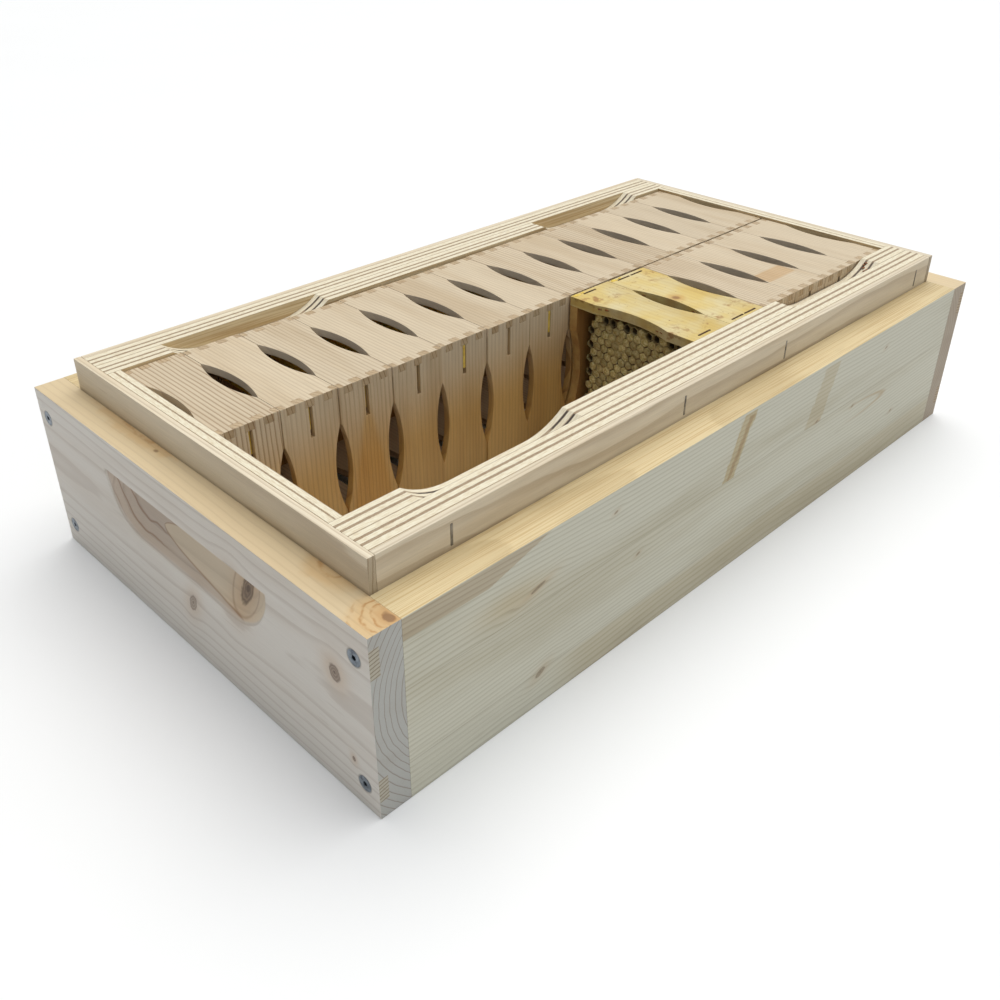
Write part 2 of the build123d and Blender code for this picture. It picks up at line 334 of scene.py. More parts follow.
def end_board_material(name, side):
    """Pale greyed pine. The near end board shows five knots, and its dished handhold cuts the rings."""
    pith = (side * 190.0, 58.0)
    wood = Wood(name, "Y", pith, 3.1, warp=4.0, wander=0.0028, crisp=0.6)
    g = wood.g
    if side < 0:
        wood.knot_colour = rgb(112, 92, 76)
        wood.add_knot(-119, 67, 3.4, 4.2, strength=1.0)
        wood.add_knot(-2, 35, 2.8, 5.6, lean=0.5, strength=0.75)
        wood.add_knot(-44, 63, 4.4, 6.4, lean=0.15, reach=3.0)
        wood.add_knot(-127, 24, 1.0, 1.4, reach=3.0)
    else:
        wood.add_knot(38, 30, 5.0, 6.0, lean=0.3, strength=0.8)
        wood.add_knot(-92, 74, 3.0, 3.4, strength=0.7)
    depth = g.sub(-LEFT_LOW.x, g.math("ABSOLUTE", g.split(g.place())[0]))
    floor = g.mul(g.rise(depth, 0.5, 1.6), g.fall(wood.end_facing, 0.6, 0.8),
                  g.within(wood.high, 47, 81, 1.0), g.within(wood.along, -74, 74, 1.0))
    wood.mark(g.mul(floor, 0.5), rgb(232, 208, 186), "MULTIPLY")
    drift = g.mul(g.sub(g.noise(g.point(g.mul(wood.along, 0.05), 0.0, g.mul(wood.high, 0.05))), 0.5), 2.4)
    ring = g.math("FRACT", g.mul(g.add(depth, drift), 1.0 / 2.7))
    contour = g.mul(g.within(ring, 0.3, 0.44, 0.07), g.rise(wood.along, 14, 34), floor)
    wood.mark(g.mul(contour, 0.65), rgb(150, 112, 84))
    tip = 30.0
    reach = g.math("SQRT", g.math("MAXIMUM", g.mul(g.sub(tip, wood.along), 1.0 / 0.6), 0.0))
    loop = g.sub(g.add(reach, g.mul(drift, 0.4)), g.math("ABSOLUTE", g.sub(wood.high, 62.0)))
    inside = g.mul(g.rise(loop, 0.0, 0.6), floor, g.fall(wood.along, tip - 1, tip))
    outline = g.mul(g.within(loop, 0.0, 0.7, 0.35), floor, g.fall(wood.along, tip, tip + 1))
    wood.mark(g.mul(inside, 0.4), rgb(244, 226, 190))
    wood.mark(g.mul(outline, 0.6), rgb(160, 122, 88))
    core = g.length(g.add(wood.along, 44.0), g.sub(wood.high, 63.0))
    wood.mark(g.mul(g.within(core, 11.0, 12.0, 0.7), floor, 0.45), rgb(160, 122, 88))
    wood.mark(g.mul(g.fall(core, 0.8, 2.6), floor, 0.85), rgb(62, 46, 36))
    stripe = g.math("FRACT", g.mul(g.add(wood.high, g.mul(g.math("ABSOLUTE", wood.across), 0.2)), 0.5))
    shallow = g.rise(g.math("ABSOLUTE", wood.across), 248.6, 249.2)
    for low, high in ((78, 93), (10, 23)):
        patch = g.mul(g.within(wood.high, low, high, 0.3), shallow, g.rise(wood.end_facing, 0.7, 0.9))
        wood.mark(g.mul(patch, 0.7), rgb(222, 206, 176))
        wood.mark(g.mul(patch, g.within(stripe, 0.25, 0.5, 0.1), 0.8), rgb(136, 108, 80))
    screw_stains(wood, [(y, z) for y in (-133.3, 133.3) for z in (14.0, 84.0)])
    top = g.rise(g.facing()[2], 0.7, 0.9)
    # painted light: upward faces are warmed towards orange, in place of warm light falling on the ledge
    wood.mark(g.mul(top, 0.75), rgb(248, 228, 182), "MULTIPLY")
    wood.mark(g.mul(top, 0.45), rgb(216, 196, 160))
    if side < 0:
        swirl(wood, top, (-240.0, -139.0), 19.0, 4.2, 1.1, core=3.4)
        swirl(wood, top, (-236.0, -100.0), 13.0, 9.0, 1.6)
        swirl(wood, top, (-233.0, 60.0), 14.0, 12.0, 4.0)
        pin = g.length(g.add(wood.across, 241.0), g.mul(g.sub(wood.along, 36.0), 0.6))
        wood.mark(g.mul(top, g.fall(pin, 0.4, 1.5), 0.7), rgb(120, 82, 52))
    ends = rgb(198, 202, 204) if side < 0 else rgb(186, 174, 158)
    return wood.paint(rgb(215, 209, 200), rgb(178, 165, 152), rgb(234, 226, 218), ends, contrast=0.42)


def slanted(g, x, z, top, bottom, z_range, ragged=None):
    """A streak between two slanting sides, given by its (left, right) at the top and at the bottom."""
    low, high = z_range
    share = g.mul(g.sub(z, low), 1.0 / (high - low))
    left = g.add(bottom[0], g.mul(share, top[0] - bottom[0]))
    right = g.add(bottom[1], g.mul(share, top[1] - bottom[1]))
    x = x if ragged is None else g.add(x, ragged)
    inside = g.mul(g.rise(g.sub(x, left), -0.8, 1.2), g.fall(g.sub(x, right), -1.2, 0.8))
    return g.mul(inside, g.within(z, low, high, 0.3))


def side_board_material(name, side):
    """Three strips of pine glued edge to edge, with knots and resin streaks on the front board."""
    levels = (21.0, 62.0)
    wood = Wood(name, "X", (side * 110.0, -60.0), 2.7, spread=60.0, warp=10.0, wander=0.0034,
                levels=levels, crisp=0.45)
    g = wood.g
    for level in levels:
        line = g.within(wood.high, level - 0.15, level + 0.15, 0.12)
        wood.mark(g.mul(line, 0.4), rgb(150, 130, 100), "MULTIPLY")
    if side < 0:
        wood.knot_colour = rgb(118, 102, 78)
        wood.add_knot(-160, 72, 4.4, 0.8, lean=0.3, strength=0.8, reach=4.6)
        glow_along = g.math("POWER", g.mul(g.add(wood.along, 176), 1 / 22), 2.0)
        glow_high = g.math("POWER", g.mul(g.sub(wood.high, 73), 1 / 8), 2.0)
        glow = g.math("EXPONENT", g.mul(g.add(glow_along, glow_high), -1.0))
        wood.mark(g.mul(glow, 0.5), rgb(232, 206, 158), "MULTIPLY")
        for u, t in ((-108, 87), (-88, 53), (119, 57), (150, 86), (177, 32), (76, 63)):
            wood.add_knot(u, t, 1.3, 0.6, lean=0.3, strength=0.75, reach=5.0)
        wood.add_knot(-157, 20, 3.2, 1.5, lean=0.5, strength=0.75, reach=3.8)
        frayed = g.noise(g.point(g.mul(wood.along, 0.3), 0.0, g.mul(wood.high, 0.1)), 1.0)
        ragged = g.mul(g.sub(frayed, 0.5), 5.0)
        flame = slanted(g, wood.along, wood.high, (-5, 7), (-19, -8), (62, 98), ragged)
        wood.mark(g.mul(flame, 0.65), rgb(226, 202, 150), "MULTIPLY")
        core = slanted(g, wood.along, wood.high, (0, 5), (-15, -12), (62, 96), ragged)
        wood.mark(g.mul(core, 0.55), rgb(206, 174, 118), "MULTIPLY")
        for left in (-3.5, 0.5, 4.5):
            line_top = (left, left + 0.6)
            line_bottom = (left - 15, left - 14.6)
            line = slanted(g, wood.along, wood.high, line_top, line_bottom, (62, 98), ragged)
            wood.mark(g.mul(line, 0.6), rgb(166, 132, 84))
        oval = g.add(g.math("POWER", g.mul(g.sub(wood.along, 118.0), 1 / 40), 2.0),
                     g.math("POWER", g.mul(g.sub(wood.high, 52.0), 1 / 5.0), 2.0))
        wood.mark(g.mul(g.within(oval, 0.8, 1.2, 0.2), g.rise(wood.along, 100, 140), 0.55), rgb(162, 134, 92))
        soft = slanted(g, wood.along, wood.high, (77, 93), (62, 80), (62, 97), ragged)
        wood.mark(g.mul(soft, 0.4), rgb(222, 198, 150), "MULTIPLY")
        brown = slanted(g, wood.along, wood.high, (-240, -152), (-240, -190), (88, 99), ragged)
        wood.mark(g.mul(brown, 0.5), rgb(204, 172, 132), "MULTIPLY")
        low = g.mul(g.fall(wood.high, 17, 22), g.rise(wood.along, -160, -120))
        wood.mark(g.mul(low, 0.4), rgb(226, 206, 168), "MULTIPLY")
    else:
        wood.add_knot(-60, 40, 6.0, 4.5, lean=0.2)
        wood.add_knot(120, 74, 3.6, 2.8)
        wood.add_knot(180, 12, 2.0, 1.6)
    top = g.rise(g.facing()[2], 0.7, 0.9)
    # painted light: upward faces are brightened and warmed, in place of light falling on the ledge; the fine
    # streaks below are grain
    wood.mark(g.mul(top, 0.2), rgb(255, 246, 226), "ADD")
    wood.mark(g.mul(top, 0.8), rgb(244, 224, 184), "MULTIPLY")
    fine = g.noise(g.point(g.mul(wood.along, 0.01), g.mul(wood.across, 1.3), 0.0), 1.0, 3.0)
    wood.mark(g.mul(top, g.rise(fine, 0.5, 0.6), 0.5), rgb(214, 190, 150), "MULTIPLY")
    return wood.paint(rgb(195, 192, 175), rgb(150, 141, 114), rgb(214, 204, 182),
                      rgb(184, 174, 160), contrast=0.42)


def rim_material(name, grain):
    wood = Wood(name, grain, (160.0, 60.0), 2.6, spread=50.0, warp=4.0)
    g = wood.g
    # painted shade: the rim's lowest 2.5 mm, in the crease where it meets the ledge, is darkened
    foot_shade = g.fall(wood.high, BOARD_HIGH.z, BOARD_HIGH.z + 2.5)
    wood.mark(g.mul(foot_shade, 0.4), rgb(170, 150, 120), "MULTIPLY")
    # painted shade: the rim's upright faces are made a little darker and cooler than its top
    side_face_shade = g.fall(g.math("ABSOLUTE", g.facing()[2]), 0.3, 0.6)
    wood.mark(g.mul(side_face_shade, 0.8), rgb(238, 234, 228), "MULTIPLY")
    return wood.paint(rgb(224, 213, 192), rgb(176, 156, 128), rgb(230, 215, 190),
                      rgb(206, 202, 196), contrast=0.5, fibre=0.16)


# ---------------------------------------------------------------- plywood

def ply_material(name, axis, start, thickness, bands):
    """Plywood whose plies are bands across its thickness. bands holds (width, kind) from the inside out."""
    material, g = new_material(name)
    parts = g.split(g.place())
    across = g.math("ABSOLUTE", parts[axis])
    along = parts[1 - axis]
    depth = g.math("MODULO", g.sub(across, start), thickness)
    waver = g.noise(g.point(g.mul(along, 0.012), g.mul(across, 0.05), g.mul(parts[2], 0.1)), 1.0, 3.0)
    depth = g.add(depth, g.mul(g.sub(waver, 0.5), 0.5))
    sheet = g.math("FLOOR", g.mul(g.sub(across, start), 1.0 / thickness))
    dark = 0.0
    edge = 0.0
    at = 0.0
    for width, kind in bands:
        if kind == "dark":
            dark = g.math("MAXIMUM", dark, g.within(depth, at, at + width, 0.18))
            for line in (at, at + width):
                edge = g.math("MAXIMUM", edge, g.within(depth, line - 0.12, line + 0.12, 0.12))
        at += width
    joint = g.math("MAXIMUM", g.fall(depth, 0.1, 0.45), g.rise(depth, thickness - 0.4, thickness - 0.1))
    cut = g.fall(g.math("ABSOLUTE", g.facing()[axis]), 0.6, 0.8)
    dash_place = g.point(g.mul(along, 0.25), g.mul(across, 2.2), g.add(g.mul(parts[2], 0.5), sheet))
    dashes = g.noise(dash_place, 1.0, 3.0, 0.6)
    pores = g.noise(g.point(g.mul(along, 1.6), g.mul(across, 2.0), parts[2]), 1.0, 2.0)
    colour = g.mix(g.rise(dashes, 0.35, 0.72), rgb(233, 227, 207), rgb(212, 198, 170))
    brown = g.mix(pores, rgb(170, 146, 116), rgb(124, 102, 78))
    colour = g.mix(g.mul(dark, cut, g.add(0.65, g.mul(dashes, 0.5))), colour, brown)
    colour = g.mix(g.mul(edge, cut, g.rise(pores, 0.4, 0.6), 0.6), colour, rgb(104, 70, 46))
    colour = g.mix(g.mul(joint, cut, 0.75), colour, rgb(112, 86, 64))
    if axis == 1:
        # near-black lines along two glue lines by the scoop ends: partly darker glue, partly painted shade in
        # place of gaps where the veneer tore
        torn_end_shade = 0.0
        for x, reach, most in SCOOP_GAPS:
            near = g.fall(g.math("ABSOLUTE", g.sub(parts[0], x)), reach * 0.6, reach)
            torn_end_shade = g.math("MAXIMUM", torn_end_shade, g.mul(near, most))
        below = g.fall(parts[2], RIM_HIGH.z - 0.5, RIM_HIGH.z - 0.2)
        wide = g.fall(g.math("ABSOLUTE", g.sub(depth, 4.2)), 0.3, 0.8)
        other = g.fall(g.math("ABSOLUTE", g.sub(depth, 8.6)), 0.3, 0.8)
        gap_shade = g.mul(g.math("MAXIMUM", wide, other), torn_end_shade, below, cut)
        colour = g.mix(g.mul(gap_shade, 0.9), colour, rgb(34, 30, 34))
    veneer = g.noise(g.point(g.mul(along, 0.012), 3.1, g.mul(parts[2], 0.7)), 1.0, 4.0, 0.6)
    face = g.mix(g.rise(veneer, 0.3, 0.7), rgb(226, 208, 170), rgb(190, 160, 114))
    colour = g.mix(g.sub(1.0, cut), colour, face)
    height = g.add(g.mul(dashes, 0.7), g.mul(dark, cut, -0.6), g.mul(pores, 0.3))
    g.finish(colour, g.add(0.55, g.mul(dashes, 0.2)), height, 0.0002, 0.5)
    return material


# scoop ends where the glue lines get near-black painted shade: (x, reach, strength)
SCOOP_GAPS = ((-183.0, 9.0, 1.0), (-98.0, 8.0, 1.0), (104.0, 8.0, 0.6), (190.0, 10.0, 0.9))
SIDE_BANDS = ((3.4, "light"), (1.5, "dark"), (2.8, "light"), (1.5, "dark"), (3.8, "light"))
END_BANDS = ((3.3, "light"), (0.8, "dark"), (3.4, "light"))


# ---------------------------------------------------------------- section frames

def inner_faces(g):
    """1 on the faces of upright bars that look into their own frame; these faces get painted shade."""
    row = g.math("SIGN", g.split(g.attribute("middle", "Vector"))[1])
    towards_middle = g.sub(g.mul(row, 46.8), g.split(g.place())[1])
    return g.rise(g.mul(g.facing()[1], towards_middle), 8.0, 20.0)


def section_material(name, grain):
    """Fine pale limewood or pine, more or less striped by the frame's own figure; the uprights turn golden
    lower down with painted bounce light.
    """
    wood = Wood(name, grain, (150.0, 40.0), 2.5, spread=70.0, warp=3.0, wander=0.006, crisp=0.5)
    g = wood.g
    x, y, z = g.split(g.place())
    if grain == "Z":
        # painted light: uprights turn golden lower down, in place of warm light bounced inside the box
        wood.mark(g.mul(g.fall(z, 62, 114), 0.9), rgb(250, 214, 138), "MULTIPLY")
        # painted shade on the upright faces that look into their own frame
        wood.mark(g.mul(inner_faces(g), 0.6), rgb(172, 134, 102), "MULTIPLY")
        aside = g.math("ABSOLUTE", g.add(x, 138.8))
        widening = g.sub(g.mul(g.sub(110.0, z), 0.2), aside)
        blaze = g.mul(g.rise(widening, -2.0, 3.0), g.fall(z, 90, 108), g.within(y, -4, 1.5, 0.8))
        wood.mark(g.mul(blaze, 0.5), rgb(246, 218, 132), "MULTIPLY")
    else:
        # painted shade: the bottom bars darken below 70 mm
        wood.mark(g.mul(g.fall(z, 60, 70), 0.6), rgb(220, 180, 130), "MULTIPLY")
        patch = g.mul(g.within(x, 123, 152, 0.5), g.within(y, -73, -60, 0.8))
        wood.mark(g.mul(patch, 0.7), rgb(240, 214, 176), "MULTIPLY")
    # painted light: faces towards the neighbouring frames are lightened above 109 mm, in place of light from
    # above
    walls_painted_light = g.rise(g.math("ABSOLUTE", g.facing()[0]), 0.5, 0.8)
    wood.mark(g.mul(walls_painted_light, g.rise(z, 109, 112), 0.55), rgb(228, 216, 200))
    return wood.paint(rgb(208, 193, 168), rgb(160, 133, 104), rgb(217, 202, 178),
                      rgb(230, 221, 208), contrast=0.34, fibre=0.17)


def used_material(name, grain):
    """Older section wood, yellowed by wax, with brown propolis along the edges of its passages."""
    wood = Wood(name, grain, (110.0, 60.0), 3.4, spread=60.0, warp=4.0, wander=0.006)
    g = wood.g
    x, y, z = g.split(g.place())
    blotch = g.noise(g.point(g.mul(x, 0.16), g.mul(y, 0.16), g.mul(z, 0.16)), 1.0, 4.0, 0.6)
    patchy = g.noise(g.point(g.mul(x, 0.05), g.mul(y, 0.05), g.mul(z, 0.05)), 1.0, 2.0)
    sides = g.rise(g.math("ABSOLUTE", g.facing()[0]), 0.4, 0.8)
    below = g.fall(z, 108.0, 112.0)
    wood.mark(g.mul(g.rise(patchy, 0.3, 0.7), g.sub(1.0, below), 0.75), rgb(252, 232, 150), "MULTIPLY")
    stained = 0.5 if grain == "Z" else 0.3
    wood.mark(g.mul(sides, g.rise(blotch, 0.3, 0.8), stained), rgb(190, 138, 84), "MULTIPLY")
    if grain == "Z":
        wood.mark(0.8, rgb(218, 180, 120), "MULTIPLY")
        # painted shade on the upright faces that look into their own frame
        wood.mark(g.mul(inner_faces(g), 0.55), rgb(184, 132, 80), "MULTIPLY")
    edge = g.math("ABSOLUTE", g.sub(g.math("ABSOLUTE", y), 46.8))
    rim = g.mul(g.sub(1.0, below), g.rise(edge, 20, 30), g.fall(edge, 34, 44), g.rise(blotch, 0.5, 0.66))
    wood.mark(g.mul(rim, 0.7), rgb(176, 120, 62), "MULTIPLY")
    specks = g.noise(g.point(g.mul(x, 0.5), g.mul(y, 0.5), g.mul(z, 0.5)), 1.0, 2.0)
    wood.mark(g.mul(g.rise(specks, 0.69, 0.74), 0.7), rgb(128, 78, 36))
    if grain == "Y":
        spot = g.length(g.sub(x, 61.0), g.sub(y, -47.0))
        wood.mark(g.mul(g.fall(spot, 1.2, 3.6), 0.7), rgb(132, 84, 44))
        wood.mark(g.mul(g.fall(spot, 3.0, 8.0), 0.45), rgb(226, 178, 98), "MULTIPLY")
    return wood.paint(rgb(219, 206, 160), rgb(188, 158, 106), rgb(222, 204, 150),
                      rgb(192, 162, 118), contrast=0.2)


STRIPED = {"section_frame_back_01": 1.1, "section_frame_back_08": 0.7, "section_frame_back_10": 0.75,
           "section_frame_front_10": 0.85, "section_frame_back_03": 0.35, "section_frame_front_11": 0.2}


# ---------------------------------------------------------------- wax and metal

def hexagons(g, first, second, pitch):
    """Distance to the nearest cell's middle, in pitches, on a honeycomb of that pitch."""
    rows = pitch * math.sqrt(3)
    best = None
    for shift in (0.0, 0.5):
        a = g.sub(g.math("FRACT", g.add(g.mul(first, 1 / pitch), shift)), 0.5)
        b = g.mul(g.sub(g.math("FRACT", g.add(g.mul(second, 1 / rows), shift)), 0.5), math.sqrt(3))
        distance = g.length(a, b)
        best = distance if best is None else g.math("MINIMUM", best, distance)
    return best


def foundation_material():
    """Yellow wax sheet embossed with cell bases."""
    material, g = new_material("beeswax_foundation")
    x, y, z = g.split(g.place())
    cells = g.rise(hexagons(g, y, z, 5.4), 0.32, 0.5)
    bloom = g.noise(g.point(x, g.mul(y, 0.2), g.mul(z, 0.2)), 1.0, 3.0)
    colour = g.mix(bloom, rgb(226, 188, 74), rgb(240, 210, 112))
    colour = g.mix(g.mul(cells, 0.3), colour, rgb(196, 146, 48))
    g.finish(colour, g.add(0.38, g.mul(bloom, 0.2)), cells, 0.0003, 0.6, Subsurface_Weight=0.15)
    return material


def comb_material():
    """Capped comb: cream to olive wax with a dry, wrinkled surface, a random tone from cell to cell, and
    painted shade in the grooves between caps and down the open cells.
    """
    material, g = new_material("capped_comb")
    depth = g.attribute("open", "Fac")
    tone_and_pit_shade = g.attribute("tone_and_pit_shade", "Fac")
    place = g.place()
    lumps = g.noise(place, 0.7, 4.0, 0.7)
    wide = g.noise(place, 0.06, 2.0)
    colour = g.mix(g.rise(lumps, 0.3, 0.7), rgb(190, 170, 100), rgb(246, 236, 184))
    colour = g.mix(g.mul(wide, 0.5), colour, rgb(206, 176, 104), "MULTIPLY")
    # each cell's random tone, with painted shade in the pits between caps
    colour = g.mix(g.mul(tone_and_pit_shade, 0.8), colour, rgb(92, 66, 30), "MULTIPLY")
    # painted shade: open cells turn near-black towards their floors
    colour = g.mix(depth, colour, rgb(50, 34, 18))
    g.finish(colour, g.add(0.5, g.mul(lumps, 0.25)), lumps, 0.0005, 0.6, Subsurface_Weight=0.08)
    return material


def metal_material(name, light, dark, roughness):
    """Plated steel, dulled in patches, with fine scratches."""
    material, g = new_material(name)
    place = g.place()
    patches = g.noise(place, 0.35, 3.0, 0.6)
    scratches = g.noise(g.vector("MULTIPLY", place, (0.6, 6.0, 0.8)), 1.0, 3.0)
    colour = g.mix(g.rise(patches, 0.35, 0.7), light, dark)
    rough = g.add(roughness, g.mul(g.sub(patches, 0.5), 0.25), g.mul(scratches, 0.08))
    g.finish(colour, rough, scratches, 0.00003, 0.3, Metallic=1.0)
    return material


def propolis_material():
    material, g = new_material("propolis")
    place = g.place()
    clots = g.noise(place, 0.9, 4.0, 0.6)
    colour = g.mix(g.rise(clots, 0.35, 0.7), rgb(94, 48, 18), rgb(168, 104, 44))
    g.finish(colour, g.add(0.32, g.mul(clots, 0.3)), clots, 0.0004, 0.6)
    return material


def wax_material():
    material, g = new_material("wax_smear")
    clots = g.noise(g.place(), 0.7, 3.0, 0.6)
    colour = g.mix(clots, rgb(244, 214, 92), rgb(232, 184, 54))
    g.finish(colour, g.add(0.4, g.mul(clots, 0.2)), clots, 0.0004, 0.6, Subsurface_Weight=0.15)
    return material


# ---------------------------------------------------------------- pieces

def solids_of(mesh):
    """The node's faces, one list for each of its solids. A solid ends where its faces close up."""
    def key(index):
        return tuple(round(value / (2e-3 * MM)) for value in mesh.vertices[index].co)

    solids = []
    current = []
    unmatched = set()
    for polygon in mesh.polygons:
        keys = [key(index) for index in polygon.vertices]
        current.append([mesh.vertices[index].co.copy() for index in polygon.vertices])
        for a, b in zip(keys, keys[1:] + keys[:1]):
            if (b, a) in unmatched:
                unmatched.discard((b, a))
            else:
                unmatched.add((a, b))
        if not unmatched:
            solids.append(current)
            current = []
    if current:
        solids.append(current)
    return solids


def eased_solid(faces, ease):
    """One solid as a clean mesh of large faces with softened edges."""
    bm = bmesh.new()
    for corners in faces:
        bm.faces.new([bm.verts.new(corner) for corner in corners])
    bmesh.ops.remove_doubles(bm, verts=bm.verts, dist=2e-3 * MM)
    bmesh.ops.dissolve_limit(bm, angle_limit=math.radians(0.8), verts=bm.verts, edges=bm.edges)
    sharp = [e for e in bm.edges if len(e.link_faces) == 2 and e.calc_face_angle() > math.radians(35)]
    bmesh.ops.bevel(bm, geom=sharp, offset=ease * MM, segments=2, profile=0.5,
                    affect="EDGES", clamp_overlap=True)
    bmesh.ops.triangulate(bm, faces=[f for f in bm.faces if len(f.verts) > 4])
    return bm


def extent(points):
    low = Vector([min(p[i] for p in points) for i in range(3)])
    high = Vector([max(p[i] for p in points) for i in range(3)])
    return low, high


def eased(node, materials, ease=0.3, choose=None, own_middle=False, figure=0.0):
    """A copy of a CAD node with softened edges, and its own grain in each of its solids."""
    whole = bmesh.new()
    board = whole.verts.layers.float.new("board")
    strong = whole.verts.layers.float.new("figure")
    middle = whole.verts.layers.float_vector.new("middle")
    draw = random.Random(node)
    for faces in solids_of(frame["nodes"][node].data):
        solid = eased_solid(faces, ease)
        low, high = extent([v.co for v in solid.verts])
        seed = draw.uniform(0.0, 40.0)
        centre = (low + high) / 2 / MM if own_middle else Vector((0, 0, 0))
        index = choose(high - low) if choose is not None else 0
        copies = {}
        for vertex in solid.verts:
            copy = whole.verts.new(vertex.co)
            copy[board] = seed
            copy[strong] = figure
            copy[middle] = centre
            copies[vertex] = copy
        for face in solid.faces:
            whole.faces.new([copies[v] for v in face.verts]).material_index = index
        solid.free()
    mesh = bpy.data.meshes.new(node + "_mesh")
    whole.to_mesh(mesh)
    whole.free()
    for material in materials:
        mesh.materials.append(material)
    mesh.shade_smooth()
    mesh.set_sharp_from_angle(angle=math.radians(14))
    piece = bpy.data.objects.new(node + "_piece", mesh)
    bpy.context.scene.collection.objects.link(piece)
    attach(piece, BODY_OF[node])
    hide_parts(node)
    return piece


def repaint(node, material):
    """A CAD node that keeps its mesh and gets a better material."""
    mesh = frame["nodes"][node].data
    mesh.materials.clear()
    mesh.materials.append(material)


def add_piece(name, bm, material, body):
    mesh = bpy.data.meshes.new(name + "_mesh")
    bm.to_mesh(mesh)
    bm.free()
    mesh.materials.append(material)
    mesh.shade_smooth()
    piece = bpy.data.objects.new(name, mesh)
    bpy.context.scene.collection.objects.link(piece)
    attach(piece, body)
    return piece


# ---------------------------------------------------------------- honeycomb

CELL = 5.4               # worker cell, flat to flat
WALL = 0.45              # half of a wall between two open cells
OPEN_DEPTH = 8.0


def comb_half(bm, layers, node, side, rng):
    """One side of a comb: a honeycomb of capped and open cells, closed at the comb's middle."""
    cell_depth_shade_layer, tone_and_pit_shade_layer = layers
    low, high = box_mm(node)
    face = (low.x if side < 0 else high.x)
    centre = (low.x + high.x) / 2
    radius = CELL / math.sqrt(3)
    row_step = radius * 1.5
    corner = 16.0
    corners = {}
    outline = {}

    def spot(y, z, x):
        return Vector((x, y, z)) * MM

    def shared(y, z):
        key = (round(y * 50), round(z * 50))
        if key not in corners:
            aside = rng.uniform(-0.45, 0.45)
            up = rng.uniform(-0.45, 0.45)
            pit = rng.random()
            corners[key] = bm.verts.new(spot(y + aside, z + up, face - side * (1.1 + 1.5 * pit)))
            corners[key][cell_depth_shade_layer] = 0.0
            # deeper corners between caps get more painted shade
            corners[key][tone_and_pit_shade_layer] = 0.3 + 1.7 * pit
        return corners[key]

    rows = int((high.z - low.z) / row_step)
    columns = int((high.y - low.y) / CELL) + 1
    for row in range(rows):
        z = low.z + 3.4 + row * row_step
        for column in range(columns):
            y = low.y + 2.9 + (column + 0.5 * (row % 2)) * CELL
            if not (low.y + 2.7 <= y <= high.y - 2.7 and z <= high.z - 3.0):
                continue
            dy = max(0.0, corner - min(y - low.y, high.y - y))
            dz = max(0.0, corner - min(z - low.z, high.z - z))
            top_gap = high.z - z
            back_gap = high.y - y
            if dy * dy + dz * dz > (corner - 2.0)**2 or top_gap < 4.5 or back_gap < 4.5:
                continue
            chance = rng.random()
            edge_open = (top_gap < 7.5 and chance < 0.55) or (back_gap < 7.5 and chance < 0.75)
            is_open = edge_open or (min(y - low.y, z - low.z) < 5.0 and chance < 0.5)
            points = []
            for i in range(6):
                turn = math.radians(60 * i)
                points.append((y + radius * math.sin(turn), z + radius * math.cos(turn)))
            rim = [shared(py, pz) for py, pz in points]
            shade = rng.uniform(0.0, 0.6)
            wobble = rng.uniform(-0.4, 0.25)

            def ring(share, x, dark, rough=0.0):
                verts = []
                for py, pz in points:
                    out = share * (1 + rng.uniform(-rough, rough))
                    level = x - side * rng.uniform(0.0, rough)
                    vertex = bm.verts.new(spot(y + (py - y) * out, z + (pz - z) * out, level))
                    vertex[cell_depth_shade_layer] = dark
                    vertex[tone_and_pit_shade_layer] = shade
                    verts.append(vertex)
                return verts

            if is_open:
                inset = 1 - WALL / (CELL / 2)
                # open cells: painted shade deepens from the lip (0.15) to the floor (1.0)
                loops = [ring(inset, face - side * 1.0, 0.15), ring(inset * 0.96, face - side * 3.0, 0.8),
                         ring(inset * 0.9, face - side * OPEN_DEPTH, 1.0)]
                tip = bm.verts.new(spot(y, z, face - side * (OPEN_DEPTH + 0.8)))
                tip[cell_depth_shade_layer] = 1.0
            else:
                loops = [ring(0.84, face - side * (0.7 - wobble), 0.0, 0.12),
                         ring(0.48, face - side * (0.3 - wobble), 0.0, 0.3)]
                tip = bm.verts.new(spot(y, z, face - side * (0.3 - rng.uniform(-0.3, 0.2))))
                tip[cell_depth_shade_layer] = 0.0
            tip[tone_and_pit_shade_layer] = shade
            before = rim
            for loop in loops:
                for i in range(6):
                    j = (i + 1) % 6
                    quad = [before[i], before[j], loop[j], loop[i]]
                    bm.faces.new(quad if side > 0 else quad[::-1])
                before = loop
            for i in range(6):
                triangle = [before[i], before[(i + 1) % 6], tip]
                bm.faces.new(triangle if side > 0 else triangle[::-1])
            for i in range(6):
                pair = frozenset((rim[i], rim[(i + 1) % 6]))
                outline[pair] = outline.get(pair, []) + [(rim[i], rim[(i + 1) % 6])]
    deep = {}

    def below(vertex):
        if vertex not in deep:
            place = vertex.co.copy()
            place.x = centre * MM
            deep[vertex] = bm.verts.new(place)
            # painted shade on the comb's outer walls, down to its middle
            deep[vertex][cell_depth_shade_layer] = 0.3
            deep[vertex][tone_and_pit_shade_layer] = 0.8
        return deep[vertex]

    rims = [pairs[0] for pairs in outline.values() if len(pairs) == 1]
    for a, b in rims:
        quad = [b, a, below(a), below(b)]
        bm.faces.new(quad if side > 0 else quad[::-1])
    follow = {a: b for a, b in rims}
    start = rims[0][0]
    loop = [start]
    while follow[loop[-1]] is not start and len(loop) <= len(rims):
        loop.append(follow[loop[-1]])
    back = [below(v) for v in loop]
    bm.faces.new(back[::-1] if side > 0 else back)


